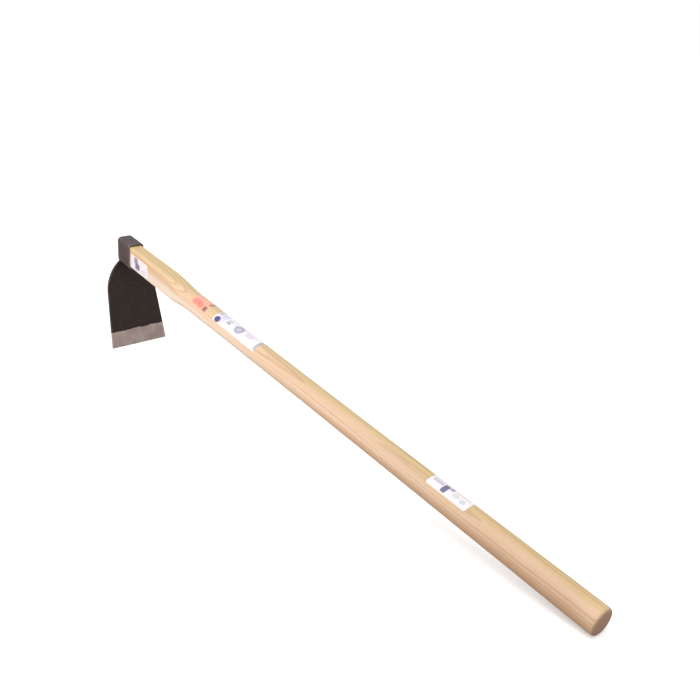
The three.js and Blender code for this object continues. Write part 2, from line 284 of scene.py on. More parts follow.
def keep_side(thing, point, normal):
    """Cuts the thing with a plane, keeps the side the normal points away from, and closes the cut."""
    work = bmesh.new()
    work.from_mesh(thing.data)
    everything = work.verts[:] + work.edges[:] + work.faces[:]
    cut = bmesh.ops.bisect_plane(
        work, geom=everything, plane_co=point, plane_no=normal, clear_outer=True
    )
    rim = [item for item in cut["geom_cut"] if isinstance(item, bmesh.types.BMEdge)]
    bmesh.ops.contextual_create(work, geom=rim)
    work.to_mesh(thing.data)
    work.free()
    join_doubles(thing.data)


def finish_piece(thing, node, material, space, crease=35):
    """Shades the piece, notes what its material needs to know, and puts it in place of a node."""
    mesh = thing.data
    mesh.polygons.foreach_set("use_smooth", [True] * len(mesh.polygons))
    mesh.set_sharp_from_angle(angle=radians(crease))
    into = space.inverted()
    place = mesh.attributes.new("place", "FLOAT_VECTOR", "POINT")
    place.data.foreach_set("vector", [n for vertex in mesh.vertices for n in into @ vertex.co])
    mesh.materials.clear()
    mesh.materials.append(material)
    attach(thing, "root")
    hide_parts(node)


# ---------------------------------------------------------------- sections
def around(half_width, half_height, corner, arc):
    """Where arc millimetres along a rounded rectangle leads, and the outward normal there.

    The walk starts in the middle of the top and goes towards -Y.
    """
    across = half_width - corner
    up = half_height - corner
    bend = corner * pi / 2
    walk = arc % (4 * (across + up + bend))
    centres = ((-across, up), (-across, -up), (across, -up), (across, up), (0, up))
    straights = (across, 2 * up, 2 * across, 2 * up, across)
    for side, straight in enumerate(straights):
        angle = (side + 1) * pi / 2
        centre_y, centre_z = centres[side]
        if walk <= straight or side == 4:
            back = straight - walk
            y = centre_y + corner * cos(angle) + back * sin(angle)
            z = centre_z + corner * sin(angle) - back * cos(angle)
            return y, z, cos(angle), sin(angle)
        walk -= straight
        if walk <= bend:
            angle += walk / corner
            y = centre_y + corner * cos(angle)
            z = centre_z + corner * sin(angle)
            return y, z, cos(angle), sin(angle)
        walk -= bend


def perimeter(half_width, half_height, corner):
    return 4 * (half_width + half_height) - (8 - 2 * pi) * corner


# ---------------------------------------------------------------- handle
def shaft_radius(x):
    """The round shaft is thickest below the scoop, thinnest at the waist and thicker at the butt."""
    end_x, end_radius = TOP_SCOOP[1], SHOULDER_SHAFT_RADIUS
    if x > WAIST_X:
        end_x, end_radius = BUTT_END, BUTT_RADIUS
    share = (x - WAIST_X) / (end_x - WAIST_X)
    return WAIST_RADIUS + (end_radius - WAIST_RADIUS) * share * share


def handle_section(x):
    """Half width, half height, corner radius and lift of the handle at x."""
    swell = max(0, x / TOP_SCOOP[0])
    radius = shaft_radius(max(x, TOP_SCOOP[1]))
    top_scoop = smoothstep(x, *TOP_SCOOP)
    bottom_scoop = smoothstep(x, *BOTTOM_SCOOP)
    side_scoop = (top_scoop + bottom_scoop) / 2
    top = lerp(lerp(TENON_HALF_HEIGHT, SWELL_TOP, swell), radius, top_scoop)
    bottom = lerp(lerp(TENON_HALF_HEIGHT, SWELL_BOTTOM, swell), radius, bottom_scoop)
    half_width = lerp(lerp(TENON_HALF_WIDTH, SWELL_HALF_WIDTH, swell), radius, side_scoop)
    corner = lerp(lerp(TENON_CORNER, SWELL_CORNER, swell), radius, side_scoop)
    half_height = (top + bottom) / 2
    return half_width, half_height, min(corner, half_width, half_height), (top - bottom) / 2


def handle_point(x, arc, height=0):
    """A point height above the handle's skin, arc millimetres round it from its top line."""
    half_width, half_height, corner, lift = handle_section(x)
    y, z, out_y, out_z = around(half_width, half_height, corner, arc)
    skin = (x, y, z + lift)
    height += unevenness(skin, WOOD_WAVES)
    return Vector((x, y + out_y * height, z + lift + out_z * height))


def handle_loop(x, inset=0):
    half_width, half_height, corner, _ = handle_section(x)
    length = perimeter(half_width, half_height, corner)
    arcs = [length * i / HANDLE_POINTS_ROUND for i in range(HANDLE_POINTS_ROUND)]
    return [handle_point(x, arc, -inset) for arc in arcs]


def shrunk(loop, share, push=0):
    """The loop drawn in towards its middle and pushed along X, with a little roughness."""
    middle = sum(loop, Vector()) / len(loop)
    inner = [middle.lerp(point, share) for point in loop]
    return [point + Vector((push + wander(point, 4, 0.05, 7), 0, 0)) for point in inner]


def end_loops(x, rounding, way):
    """Loops that round over the handle's end at x and close it. way is +1 at the butt, else -1."""
    loops = []
    for angle in steps(0, 90, 15):
        inset = rounding * (1 - cos(radians(angle)))
        reach = rounding * (1 - sin(radians(angle)))
        loops.append(handle_loop(x - way * reach, inset))
    rim = loops[-1]
    return loops + [shrunk(rim, share) for share in (0.96, 0.85, 0.65, 0.4, 0.15, 0.02)]


def wedge_block(wedge, gap=0, crosswise=False, swell=0, past=0):
    """A taper with its head at WEDGE_HEAD_X, upright or crosswise, grown by gap all round.

    swell is how far a hammered head spreads, and past is how far the head is carried beyond it.
    """
    loops = []
    for along in steps(-past, wedge["length"] + gap, 1.5):
        share = along / wedge["length"]
        half_thickness = lerp(wedge["head"], wedge["tip"], share) / 2 + gap
        half_thickness += swell * smoothstep(along, 2, 0)
        half_width = wedge["width"] / 2 + gap + swell * smoothstep(along, 2, 0)
        rounding = 0.35 if gap == 0 else 0.05
        loop = []
        total = perimeter(half_thickness, half_width, rounding)
        for i in range(WEDGE_POINTS_ROUND):
            arc = total * i / WEDGE_POINTS_ROUND
            y, z, _, _ = around(half_thickness, half_width, rounding, arc)
            if crosswise:
                y, z = -z, y
            loop.append(Vector((WEDGE_HEAD_X + along, y, z)))
        loops.append(loop)
    return loops


def capped(loops):
    """The loops with their first end domed and their last end closed."""
    first, last = loops[0], loops[-1]
    dome = [shrunk(first, share, -0.25 * (1 - share)) for share in (0.1, 0.5, 0.8)]
    return dome + loops + [shrunk(last, 0.5)]


def kerf_cutters():
    """What the saw kerf and the steel wedge take out of the tenon, a hair wider than the wedges."""
    kerf = dict(WOOD_WEDGE, width=3 * WOOD_WEDGE["width"])
    cutters = [make_mesh("kerf_cut", loft(wedge_block(kerf, 0.08, past=4)), TOOL)]
    slot = wedge_block(STEEL_WEDGE, 0.08, crosswise=True, past=4)
    cutters.append(make_mesh("slot_cut", loft(slot), TOOL))
    return cutters


def build_handle(material):
    loops = end_loops(TENON_END, TENON_ROUNDING, -1)[::-1]
    loops += [handle_loop(x) for x in steps(TENON_END + 3, 0, 3)]
    loops += [handle_loop(x) for x in steps(2.5, BOTTOM_SCOOP[1], 2.5)]
    loops += [handle_loop(x) for x in steps(BOTTOM_SCOOP[1] + 4, BUTT_END - 6, 4)]
    loops += end_loops(BUTT_END, BUTT_ROUNDING, 1)
    handle = make_mesh("ash_handle", loft(loops), TOOL)
    carve(handle, *kerf_cutters())
    finish_piece(handle, "handle", material, TOOL)


def build_wedges(wood, steel):
    wooden = make_mesh("kerf_wedge", loft(capped(wedge_block(WOOD_WEDGE))), TOOL)
    slot = wedge_block(STEEL_WEDGE, 0.04, crosswise=True, past=4)
    carve(wooden, make_mesh("slot_cut", loft(slot), TOOL))
    finish_piece(wooden, "wood_wedge", wood, TOOL)
    driven = wedge_block(STEEL_WEDGE, crosswise=True, swell=0.35)
    hammered = make_mesh("cross_wedge", loft(capped(driven)), TOOL)
    finish_piece(hammered, "steel_wedge", steel, TOOL)


# ---------------------------------------------------------------- socket
def socket_loop(x, half_width, half_height, corner, inset):
    """One loop of the socket's skin, with the slight unevenness of forging."""
    sizes = (half_width - inset, half_height - inset, max(corner - inset, 0.4))
    length = perimeter(*sizes)
    loop = []
    for i in range(SOCKET_POINTS_ROUND):
        y, z, out_y, out_z = around(*sizes, length * i / SOCKET_POINTS_ROUND)
        dent = unevenness((x, y, z), SOCKET_DENTS)
        loop.append(Vector((x, y + out_y * dent, z + out_z * dent)))
    return loop


def wall_profile(far, near, rounding):
    """(x, inset) pairs along a wall from far to near, with both its ends rounded over."""
    turn = [radians(angle) for angle in steps(0, 90, 15)]
    rounded = [(rounding * (1 - cos(angle)), rounding * (1 - sin(angle))) for angle in turn]
    middle = [(x, 0) for x in steps(far + rounding + 1.5, near - rounding - 1.5, 2)]
    start = [(far + along, inset) for along, inset in rounded]
    end = [(near - along, inset) for along, inset in rounded[::-1]]
    return start + middle + end


def build_socket(material):
    """A ring: its outside from the far end to the near one, then its inside back again."""
    outer = (SOCKET_HALF_WIDTH - 0.1, SOCKET_HALF_HEIGHT - 0.1, SOCKET_CORNER)
    inner = (TENON_HALF_WIDTH + 0.2, TENON_HALF_HEIGHT + 0.2, TENON_CORNER + 0.2)
    outside = wall_profile(SOCKET_LOW.x, SOCKET_HIGH.x, SOCKET_EDGE)
    inside = wall_profile(SOCKET_LOW.x, SOCKET_HIGH.x, SOCKET_MOUTH_EDGE)[::-1]
    loops = [socket_loop(x, *outer, inset) for x, inset in outside]
    loops += [socket_loop(x, *inner, -inset) for x, inset in inside]
    socket = make_mesh("forged_socket", ring_skin(loops), TOOL)
    finish_piece(socket, "eye_socket", material, TOOL)


# ---------------------------------------------------------------- blade
FLARE = atan2(EDGE_HALF_WIDTH - SHOULDER_HALF_WIDTH, BLADE_LENGTH - SHOULDER_DROP)
SHOULDER_CENTRE_Y = SHOULDER_HALF_WIDTH - SHOULDER_RADIUS * cos(FLARE)
SHOULDER_CENTRE_Z = -SHOULDER_DROP - SHOULDER_RADIUS * sin(FLARE)
TIP_ROUNDING = 1.6  # of the blade's two lower corners
SIDE_ROUNDING = 0.9  # of the blade's long edges


def blade_half_width(z):
    if z > -SHOULDER_DROP:
        return SHOULDER_CENTRE_Y + sqrt(SHOULDER_RADIUS ** 2 - (z - SHOULDER_CENTRE_Z) ** 2)
    share = (z + SHOULDER_DROP) / (SHOULDER_DROP - BLADE_LENGTH)
    straight = lerp(SHOULDER_HALF_WIDTH, EDGE_HALF_WIDTH, share)
    short = max(0, TIP_ROUNDING - (z + BLADE_LENGTH))
    return straight - TIP_ROUNDING + sqrt(TIP_ROUNDING ** 2 - short ** 2)


def blade_faces(z):
    """How far back the inner and the outer face lie at z."""
    drop = -z
    bevel_drop = BLADE_LENGTH - BEVEL_HEIGHT
    share = max(0, (drop - bevel_drop) / BEVEL_HEIGHT)
    inner = EDGE_SET_BACK * share
    if drop < SHOULDER_DROP:
        return inner, lerp(NECK_THICKNESS, SHOULDER_THICKNESS, max(0, drop) / SHOULDER_DROP)
    if drop < bevel_drop:
        down = (drop - SHOULDER_DROP) / (bevel_drop - SHOULDER_DROP)
        return inner, lerp(SHOULDER_THICKNESS, BEVEL_THICKNESS, down)
    return inner, lerp(BEVEL_THICKNESS, EDGE_SET_BACK + EDGE_THICKNESS, share)


def blade_loop(z):
    """A loop round the blade at z: across the inner face, over the side, back along the outer."""
    inner, outer = blade_faces(z)
    rounding = min(SIDE_ROUNDING, (outer - inner) / 2 * 0.98)
    flat = blade_half_width(z) - rounding
    ground = smoothstep(z, -BLADE_LENGTH + BEVEL_HEIGHT + 4, -BLADE_LENGTH + BEVEL_HEIGHT - 4)
    loop = []

    def add(x, y, way):
        dent = unevenness((x, y, z), BLADE_DENTS)
        loop.append(Vector((x + way * dent * (1 - 0.85 * ground), y, z)))

    def add_corner(side, x, first_angle):
        for i in range(BLADE_CORNER_POINTS):
            turn = radians(first_angle + BLADE_CORNER_STEP * i)
            add(x + rounding * cos(turn), side * flat + rounding * sin(turn), 0)

    across = [lerp(-flat, flat, i / BLADE_STEPS_ACROSS) for i in range(BLADE_STEPS_ACROSS + 1)]
    for y in across:
        add(-inner, y, 1)
    add_corner(1, -inner - rounding, 18)
    add_corner(1, -outer + rounding, 90)
    for y in across[::-1]:
        add(-outer, y, -1)
    add_corner(-1, -outer + rounding, 198)
    add_corner(-1, -inner - rounding, 270)
    return loop


def blade_skin():
    heights = steps(NECK_TOP, -BLADE_LENGTH + BEVEL_HEIGHT + 2, 1.8)
    heights += steps(-BLADE_LENGTH + BEVEL_HEIGHT + 1, -BLADE_LENGTH + 4, 1)
    heights += steps(-BLADE_LENGTH + 3.5, -BLADE_LENGTH, 0.4)
    return loft([blade_loop(z) for z in heights])


def neck_cutter():
    """The room the socket takes out of the top of the blade."""
    loops = []
    sizes = (SOCKET_HALF_WIDTH - 0.25, SOCKET_HALF_HEIGHT - 0.25, SOCKET_CORNER)
    for x in (-2 * SOCKET_DEPTH, SOCKET_DEPTH):
        length = perimeter(*sizes)
        arcs = [length * i / NECK_CUT_POINTS_ROUND for i in range(NECK_CUT_POINTS_ROUND)]
        points = [around(*sizes, arc) for arc in arcs]
        loops.append([Vector((x, y, z)) for y, z, _, _ in points])
    return make_mesh("neck_cut", loft(loops), TOOL)


def build_blade(material):
    """The blade, split along the scarf between the soft body and the laid cutting steel."""
    rise = SCARF_RISE / BEVEL_THICKNESS
    point = BLADE @ Vector((0, 0, -BLADE_LENGTH + STEEL_HEIGHT))
    normal = (BLADE.to_3x3() @ Vector((rise, 0, 1))).normalized()
    body = make_mesh("forged_blade", blade_skin(), BLADE)
    carve(body, neck_cutter())
    steel = make_mesh("laid_steel", blade_skin(), BLADE)
    keep_side(body, point, -normal)
    keep_side(steel, point, normal)
    finish_piece(body, "blade_body", material, BLADE, crease=30)
    finish_piece(steel, "cutting_steel", material, BLADE, crease=30)


# ---------------------------------------------------------------- welds
WELD_HALF_LENGTH = 9
WELD_RIPPLE = 2.3  # from one ripple to the next


def weld_loop(corner, on_socket, on_blade, bulge, y):
    """A fillet's outline at y: two straight legs and a bulged face between them."""
    middle = (on_socket + on_blade) / 2
    belly = corner + (middle - corner) * bulge
    loop = [corner, corner.lerp(on_blade, 0.5)]
    for share in steps(0, 1, 0.1):
        loop.append(on_blade.lerp(belly, share).lerp(belly.lerp(on_socket, share), share))
    loop.append(corner.lerp(on_socket, 0.5))
    return [Vector((point.x, y, point.y)) for point in loop]


def weld_skin(face_x, way, leg):
    """A rippled bead along the corner between the socket's underside and a face of the neck."""
    lean = radians(BLADE_TO_HANDLE)
    corner = Vector((NECK_X + face_x / sin(lean), -SOCKET_HALF_HEIGHT))
    loops = []
    for y in steps(-WELD_HALF_LENGTH, WELD_HALF_LENGTH, 0.2):
        taper = sqrt(max(0.02, 1 - (abs(y) / WELD_HALF_LENGTH) ** 4))
        ripple = 0.5 + 0.5 * cos(2 * pi * (y + wander((y, way, 0), 5, 0.8, 23)) / WELD_RIPPLE)
        reach = leg * taper * (0.94 + 0.06 * ripple + wander((y, way, 0), 3, 0.08, 29))
        on_socket = corner + Vector((way * reach, 0))
        on_blade = corner + Vector((cos(lean), -sin(lean))) * reach
        loops.append(weld_loop(corner, on_socket, on_blade, 1.22 + 0.16 * ripple, y))
    return loft(loops)


def build_welds(material):
    beads = (("inner_weld", 0, 1, 6), ("outer_weld", -NECK_THICKNESS, -1, 3))
    for node, face_x, way, leg in beads:
        bead = make_mesh(node.replace("weld", "bead"), weld_skin(face_x, way, leg), TOOL)
        finish_piece(bead, node, material, TOOL, crease=50)


# ---------------------------------------------------------------- stickers
def sticker_half(run, span, half):
    """Half the sticker's width run millimetres along it, less at its rounded corners."""
    short = max(0, STICKER_CORNER - min(run, span - run))
    return half - STICKER_CORNER + sqrt(max(0, STICKER_CORNER ** 2 - short ** 2))


def sticker_skin(start, end, round_from, round_to):
    """A thin closed sheet on the wood, its ends a little lifted at their corners."""
    span = end - start
    half = (round_to - round_from) / 2
    middle = (round_to + round_from) / 2
    runs = steps(0, STICKER_CORNER, 0.35)
    runs += steps(STICKER_CORNER + 1, span - STICKER_CORNER - 1, 2)
    runs += steps(span - STICKER_CORNER, span, 0.35)
    upper, lower = [], []
    for run in runs:
        width = sticker_half(run, span, half)
        end_share = max(0, 1 - min(run, span - run) / STICKER_CURL_LENGTH)
        for grid, level in ((upper, STICKER_THICKNESS), (lower, 0.01)):
            row = []
            for share in steps(-1, 1, 1.4 / half):
                curl = STICKER_CURL * end_share * share ** 6
                row.append(handle_point(start + run, middle + share * width, level + curl))
            grid.append(row)
    return shell(upper, lower)


def build_stickers(materials):
    for node, (round_from, round_to) in STICKERS.items():
        low, high = extent(node, TOOL)
        skin = sticker_skin(low.x, high.x, round_from, round_to)
        sticker = make_mesh(node.replace("label", "sticker"), skin, TOOL)
        finish_piece(sticker, node, materials[node], TOOL)


# ---------------------------------------------------------------- materials
def colour(red, green, blue):
    """A screen colour, 0 to 255, as the linear colour a shader takes."""
    linear = []
    for part in (red / 255, green / 255, blue / 255):
        linear.append(part / 12.92 if part <= 0.04045 else ((part + 0.055) / 1.055) ** 2.4)
    return (*linear, 1)


class Shader:
    """A node material written as short calls. Each call adds a node and returns its output."""

    def __init__(self, name):
        self.material = bpy.data.materials.new(name)
        self.material.use_nodes = True
        self.tree = self.material.node_tree
        self.surface = self.tree.nodes["Principled BSDF"]
        place = self.add("Attribute", output="Vector", attribute_name="place")
        self.place = place
        self.x, self.y, self.z = self.split(place)

    def feed(self, socket, value):
        if isinstance(value, bpy.types.NodeSocket):
            self.tree.links.new(value, socket)
        else:
            socket.default_value = value

    def add(self, kind, inputs=None, output=0, **settings):
        node = self.tree.nodes.new("ShaderNode" + kind)
        for name, value in settings.items():
            setattr(node, name, value)
        for name, value in (inputs or {}).items():
            self.feed(node.inputs[name], value)
        return node.outputs[output]

    def set(self, **values):
        """Feeds the surface's own inputs, named with _ for a space."""
        for name, value in values.items():
            self.feed(self.surface.inputs[name.replace("_", " ")], value)

    def split(self, vector):
        node = self.add("SeparateXYZ", {0: vector}).node
        return node.outputs[0], node.outputs[1], node.outputs[2]

    def maths(self, operation, first, second=0.0):
        return self.add("Math", {0: first, 1: second}, operation=operation)

    def plus(self, first, second):
        return self.maths("ADD", first, second)

    def minus(self, first, second):
        return self.maths("SUBTRACT", first, second)

    def times(self, first, second):
        return self.maths("MULTIPLY", first, second)

    def stretched(self, x, y, z):
        """The piece's coordinates divided by a grain size along each axis."""
        sizes = {0: self.place, 1: (1 / x, 1 / y, 1 / z)}
        return self.add("VectorMath", sizes, operation="MULTIPLY")

    def noise(self, x, y, z, detail=2.0, roughness=0.5):
        """Smooth noise from 0 to 1, with the given grain size along each axis."""
        inputs = {"Vector": self.stretched(x, y, z), "Scale": 1.0}
        inputs.update({"Detail": detail, "Roughness": roughness})
        return self.add("TexNoise", inputs, normalize=True)

    def between(self, value, low, high):
        """0 below low and 1 above high, smoothly. low may be above high."""
        inputs = {"Value": value, "From Min": low, "From Max": high}
        return self.add("MapRange", inputs, interpolation_type="SMOOTHSTEP")

    def worn(self):
        """1 where the piece's edges have been rubbed, broken up, and 0 elsewhere."""
        edges = self.add("Attribute", output="Fac", attribute_name="edges")
        ragged = self.times(edges, self.plus(0.3, self.times(self.noise(5, 5, 5, detail=4), 1.4)))
        return self.between(ragged, 0.02, 0.07)

    def mix(self, share, first, second, blend="MIX"):
        """A colour between first and second; 6 and 7 are the node's colour inputs, 2 its output."""
        inputs = {0: share, 6: first, 7: second}
        return self.add("Mix", inputs, output=2, data_type="RGBA", blend_type=blend)

    def grey(self, value):
        return self.add("CombineColor", {0: value, 1: value, 2: value})

    def bump(self, height, distance, strength=1.0, normal=None):
        inputs = {"Height": height, "Distance": distance * MM, "Strength": strength}
        if normal is not None:
            inputs["Normal"] = normal
        return self.add("Bump", inputs)


# Ash: growth rings run nearly along the handle, about a pith that lies below and beside it.
RING_WIDTH = 2.6
PITH_Y = 34
PITH_Z = -60
PITH_DRIFT = 0.006  # how fast the pith leaves the handle's axis, which opens the grain into long V's
GRAIN_SWAY = 4.5  # how far the rings wander from the straight

# Its tints. A pair of numbers runs from where a tint doesn't show to where it shows in full.
REST_TINT_HEIGHTS = (18, 3)  # above these heights the wood has the tint of the top, in which the light on the upper faces is painted
GLARE_REACH = (640, 260)  # painted glare: a whitish highlight near the head, low down
GLARE_HEIGHTS = (4, -12)
GLARE_COLOUR = colour(244, 232, 218)
BUTT_SHADE_START = (770, 900)  # painted shade: the wood drawn darker between the small sticker and the butt, where the light falls off
BUTT_SHADE_END = (1000, 965)
BUTT_SHADE_DEPTH = 0.15
EDGE_SHADE_STREAKS = (  # painted shade in streaks along the top edge: middle x and y, half length and half width
    (318, 10.5, 60, 1.4),
    (560, 9, 70, 1.8),
    (724, 6.5, 36, 2.2),
    (930, 9.5, 70, 1.5),
)
EDGE_SHADE_SWAY = 2  # how far the streaks wander from the straight


def wood_rings(shader):
    """Where each point lies in its yearly ring, from 0 at the open early wood to 1."""
    drifted_y = shader.plus(shader.y, shader.times(shader.x, PITH_DRIFT))
    sway_y = shader.times(shader.minus(shader.noise(180, 26, 26), 0.5), GRAIN_SWAY)
    sway_z = shader.times(shader.minus(shader.noise(240, 34, 34), 0.5), GRAIN_SWAY)
    from_pith_y = shader.plus(shader.minus(drifted_y, PITH_Y), sway_y)
    from_pith_z = shader.plus(shader.minus(shader.z, PITH_Z), sway_z)
    squares = shader.plus(
        shader.times(from_pith_y, from_pith_y), shader.times(from_pith_z, from_pith_z)
    )
    rings = shader.times(shader.maths("SQRT", squares), 1 / RING_WIDTH)
    return shader.maths("FRACT", rings)


def painted_edge_shade(shader):
    """1 in the middle of the painted shade streaks on the handle's upper half, fading to 0 round
    them.
    """
    total = 0.0
    sway = shader.times(shader.minus(shader.noise(60, 60, 60), 0.5), EDGE_SHADE_SWAY)
    wavy_y = shader.plus(shader.y, sway)
    for x, y, half_length, half_width in EDGE_SHADE_STREAKS:
        run = shader.times(shader.minus(shader.x, x), 1 / half_length)
        side = shader.times(shader.minus(wavy_y, y), 1 / half_width)
        reach = shader.plus(shader.times(run, run), shader.times(side, side))
        total = shader.plus(total, shader.between(reach, 1.6, 0))
    return shader.times(total, shader.between(shader.z, 0, 5))


def wood_material(name, pale, deep, end_grain, gloss, painted_glare=0.0, streaks=0.0):
    """Straight-grained wood with rings, open pores, fine fibre and darker sawn ends.

    pale holds the tint of the top, with the light and shade of the upper faces painted in, and
    that of the rest. Of the last two arguments, the first is how strongly a painted glare shows,
    whitish and on the underside near the head, and the second how strongly the painted shade streaks
    show.
    """
    shader = Shader(name)
    ring = wood_rings(shader)
    early = shader.times(shader.between(ring, 0.0, 0.05), shader.between(ring, 0.34, 0.12))
    late = shader.between(ring, 0.45, 0.98)
    fibre = shader.noise(34, 0.45, 0.45, detail=4, roughness=0.62)
    pores = shader.between(shader.noise(8, 0.26, 0.26, detail=1), 0.6, 0.68)
    pores = shader.times(pores, shader.plus(shader.times(early, 0.85), 0.15))
    grain = shader.plus(shader.times(early, 0.36), shader.times(late, 0.12))
    grain = shader.times(grain, shader.plus(0.55, shader.times(shader.noise(60, 4, 4), 0.9)))
    # Painted shade: the wood drawn darker towards the butt, where the light falls off.
    butt_shade = shader.times(
        shader.between(shader.x, *BUTT_SHADE_START), shader.between(shader.x, *BUTT_SHADE_END)
    )
    grain = shader.plus(grain, shader.times(butt_shade, BUTT_SHADE_DEPTH))
    # Painted shade in streaks along the top edge.
    grain = shader.plus(grain, shader.times(painted_edge_shade(shader), streaks))
    patches = shader.times(shader.minus(shader.noise(170, 11, 11, detail=1), 0.5), 26)
    height = shader.plus(shader.plus(shader.z, patches), shader.times(shader.y, 0.5))
    # The top's tint, high up, paints the light on the upper faces: painted shade on the ash, darker
    # and more golden than the rest.
    body = shader.mix(shader.between(height, *REST_TINT_HEIGHTS), *pale)
    # Painted glare: a whitish highlight laid over the underside near the head.
    glare_mask = shader.times(
        shader.between(shader.x, *GLARE_REACH), shader.between(height, *GLARE_HEIGHTS)
    )
    body = shader.mix(shader.times(glare_mask, painted_glare), body, GLARE_COLOUR)
    body = shader.mix(grain, body, deep)
    body = shader.mix(shader.times(pores, 0.5), body, deep, blend="MULTIPLY")
    fibre_shade = shader.grey(shader.plus(0.84, shader.times(fibre, 0.32)))
    body = shader.mix(1.0, body, fibre_shade, blend="MULTIPLY")
    normal = shader.add("NewGeometry", output="Normal")
    ways = {0: normal, 1: tuple(ALONG)}
    facing = shader.add("VectorMath", ways, output="Value", operation="DOT_PRODUCT")
    sawn = shader.between(shader.maths("ABSOLUTE", facing), 0.3, 0.9)
    sawn_colour = shader.mix(shader.times(ring, 0.35), end_grain, deep, blend="MULTIPLY")
    body = shader.mix(sawn, body, sawn_colour)
    relief = shader.minus(shader.times(fibre, 0.35), pores)
    shader.set(Base_Color=body, Normal=shader.bump(relief, 0.06, 0.6))
    shader.set(Roughness=shader.plus(gloss, shader.times(fibre, 0.14)))
    shader.set(Coat_Weight=shader.times(shader.minus(1.0, sawn), 0.4), Coat_Roughness=0.42)
    return shader.material


def blade_material():
    """Dark coating on forged steel, ground back to bare metal along the edge."""
    shader = Shader("coated_and_ground_steel")
    height = shader.plus(shader.z, BLADE_LENGTH)
    ragged = shader.plus(shader.times(shader.noise(300, 15, 300), 6.5),
                         shader.times(shader.noise(300, 2.2, 3), 0.9))
    border = shader.plus(ragged, BEVEL_HEIGHT - 3.9)
    coated = shader.between(height, border, shader.plus(border, 0.7))

    mottle = shader.noise(9, 9, 9, detail=4, roughness=0.6)
    grit = shader.noise(0.7, 0.7, 0.7, detail=2)
    coat = shader.mix(shader.between(mottle, 0.35, 0.7), colour(40, 30, 28), colour(53, 43, 40))
    coat = shader.mix(shader.times(grit, 0.25), coat, colour(76, 66, 64))
    coat = shader.mix(shader.times(shader.worn(), 0.3), coat, colour(118, 108, 104))

    lines = shader.noise(2, 0.22, 24, detail=3, roughness=0.7)
    cloud = shader.between(shader.noise(60, 24, 26, detail=1), 0.3, 0.7)
    streaks = shader.between(shader.noise(4, 1.6, 60, detail=3), 0.3, 0.7)
    tone = shader.plus(shader.times(cloud, 0.7), shader.times(streaks, 0.3))
    steel = shader.mix(tone, colour(203, 190, 188), colour(235, 226, 226))
    scratched = shader.times(shader.between(lines, 0.35, 0.7), 0.4)
    steel = shader.mix(scratched, steel, colour(122, 108, 101))

    shader.set(Base_Color=shader.mix(coated, steel, coat))
    shader.set(Metallic=shader.minus(1.0, shader.times(coated, 0.9)))
    coat_rough = shader.plus(0.38, shader.times(mottle, 0.22))
    steel_rough = shader.plus(0.34, shader.times(lines, 0.22))
    shader.set(Roughness=shader.plus(shader.times(coated, coat_rough),
                                     shader.times(shader.minus(1.0, coated), steel_rough)))
    shader.set(Specular_IOR_Level=0.35)
    step = shader.bump(coated, 0.06, 0.8)
    relief = shader.plus(shader.times(coated, shader.plus(grit, mottle)),
                         shader.times(shader.minus(1.0, coated), lines))
    shader.set(Normal=shader.bump(relief, 0.05, 0.55, normal=step))
    return shader.material


def forged_material(name, dark, light, rubbed, metallic, rough):
    """Scale and thin coating on forged steel: mottled, grainy and lighter where it is rubbed."""
    shader = Shader(name)
    mottle = shader.noise(11, 11, 11, detail=4, roughness=0.62)
    grit = shader.noise(0.6, 0.6, 0.6, detail=2)
    tone = shader.plus(shader.times(mottle, 0.6), shader.times(grit, 0.4))
    body = shader.mix(shader.between(tone, 0.3, 0.7), dark, light)
    body = shader.mix(shader.times(shader.worn(), 0.35), body, rubbed)
    shader.set(Base_Color=body, Metallic=metallic)
    shader.set(Roughness=shader.plus(rough, shader.times(mottle, 0.2)))
    shader.set(Normal=shader.bump(shader.plus(mottle, grit), 0.09, 0.6))
    return shader.material


# Kinds of printed mark, as the power that rounds their outline.
DISC = 2
BAR = 6


def paper_material(name, ground, marks, unrolled=True):
    """A satin label printed with plain marks: discs, and bars with rounded corners.

    Each mark is (kind, x, arc, half length, half width, strength, colour), with its place and size
    in millimetres along the handle and round it. unrolled labels lie over the round top. The
    others lie on the flat side, where the height stands in for the way round.
    """
    shader = Shader(name)
    if unrolled:
        angle = shader.maths("ARCTAN2", shader.times(shader.y, -1.0), shader.z)
        arc = shader.times(angle, WAIST_RADIUS + 0.5)
    else:
        arc = shader.times(shader.z, -1.0)
    printed = shader.mix(shader.times(shader.noise(6, 6, 6), 0.25), ground, colour(255, 255, 255))
    for kind, x, across, half_length, half_width, strength, ink in marks:
        run = shader.times(shader.minus(shader.x, x), 1 / half_length)
        side = shader.times(shader.minus(arc, across), 1 / half_width)
        reach = [shader.maths("POWER", shader.maths("ABSOLUTE", way), kind) for way in (run, side)]
        inside = shader.between(shader.plus(*reach), 1.25, 0.8)
        printed = shader.mix(shader.times(inside, strength), printed, ink)
    crinkle = shader.noise(5, 5, 5, detail=2)
    shader.set(Base_Color=printed, Roughness=shader.plus(0.3, shader.times(crinkle, 0.15)))
    shader.set(Normal=shader.bump(crinkle, 0.08, 0.4))
    return shader.material


WHITE = colour(234, 228, 234)
LILAC = colour(204, 194, 228)
MAUVE = colour(118, 98, 138)
NAVY = colour(58, 50, 130)
SLATE = colour(104, 98, 136)
GREY = colour(166, 166, 178)
BROWN = colour(124, 94, 78)


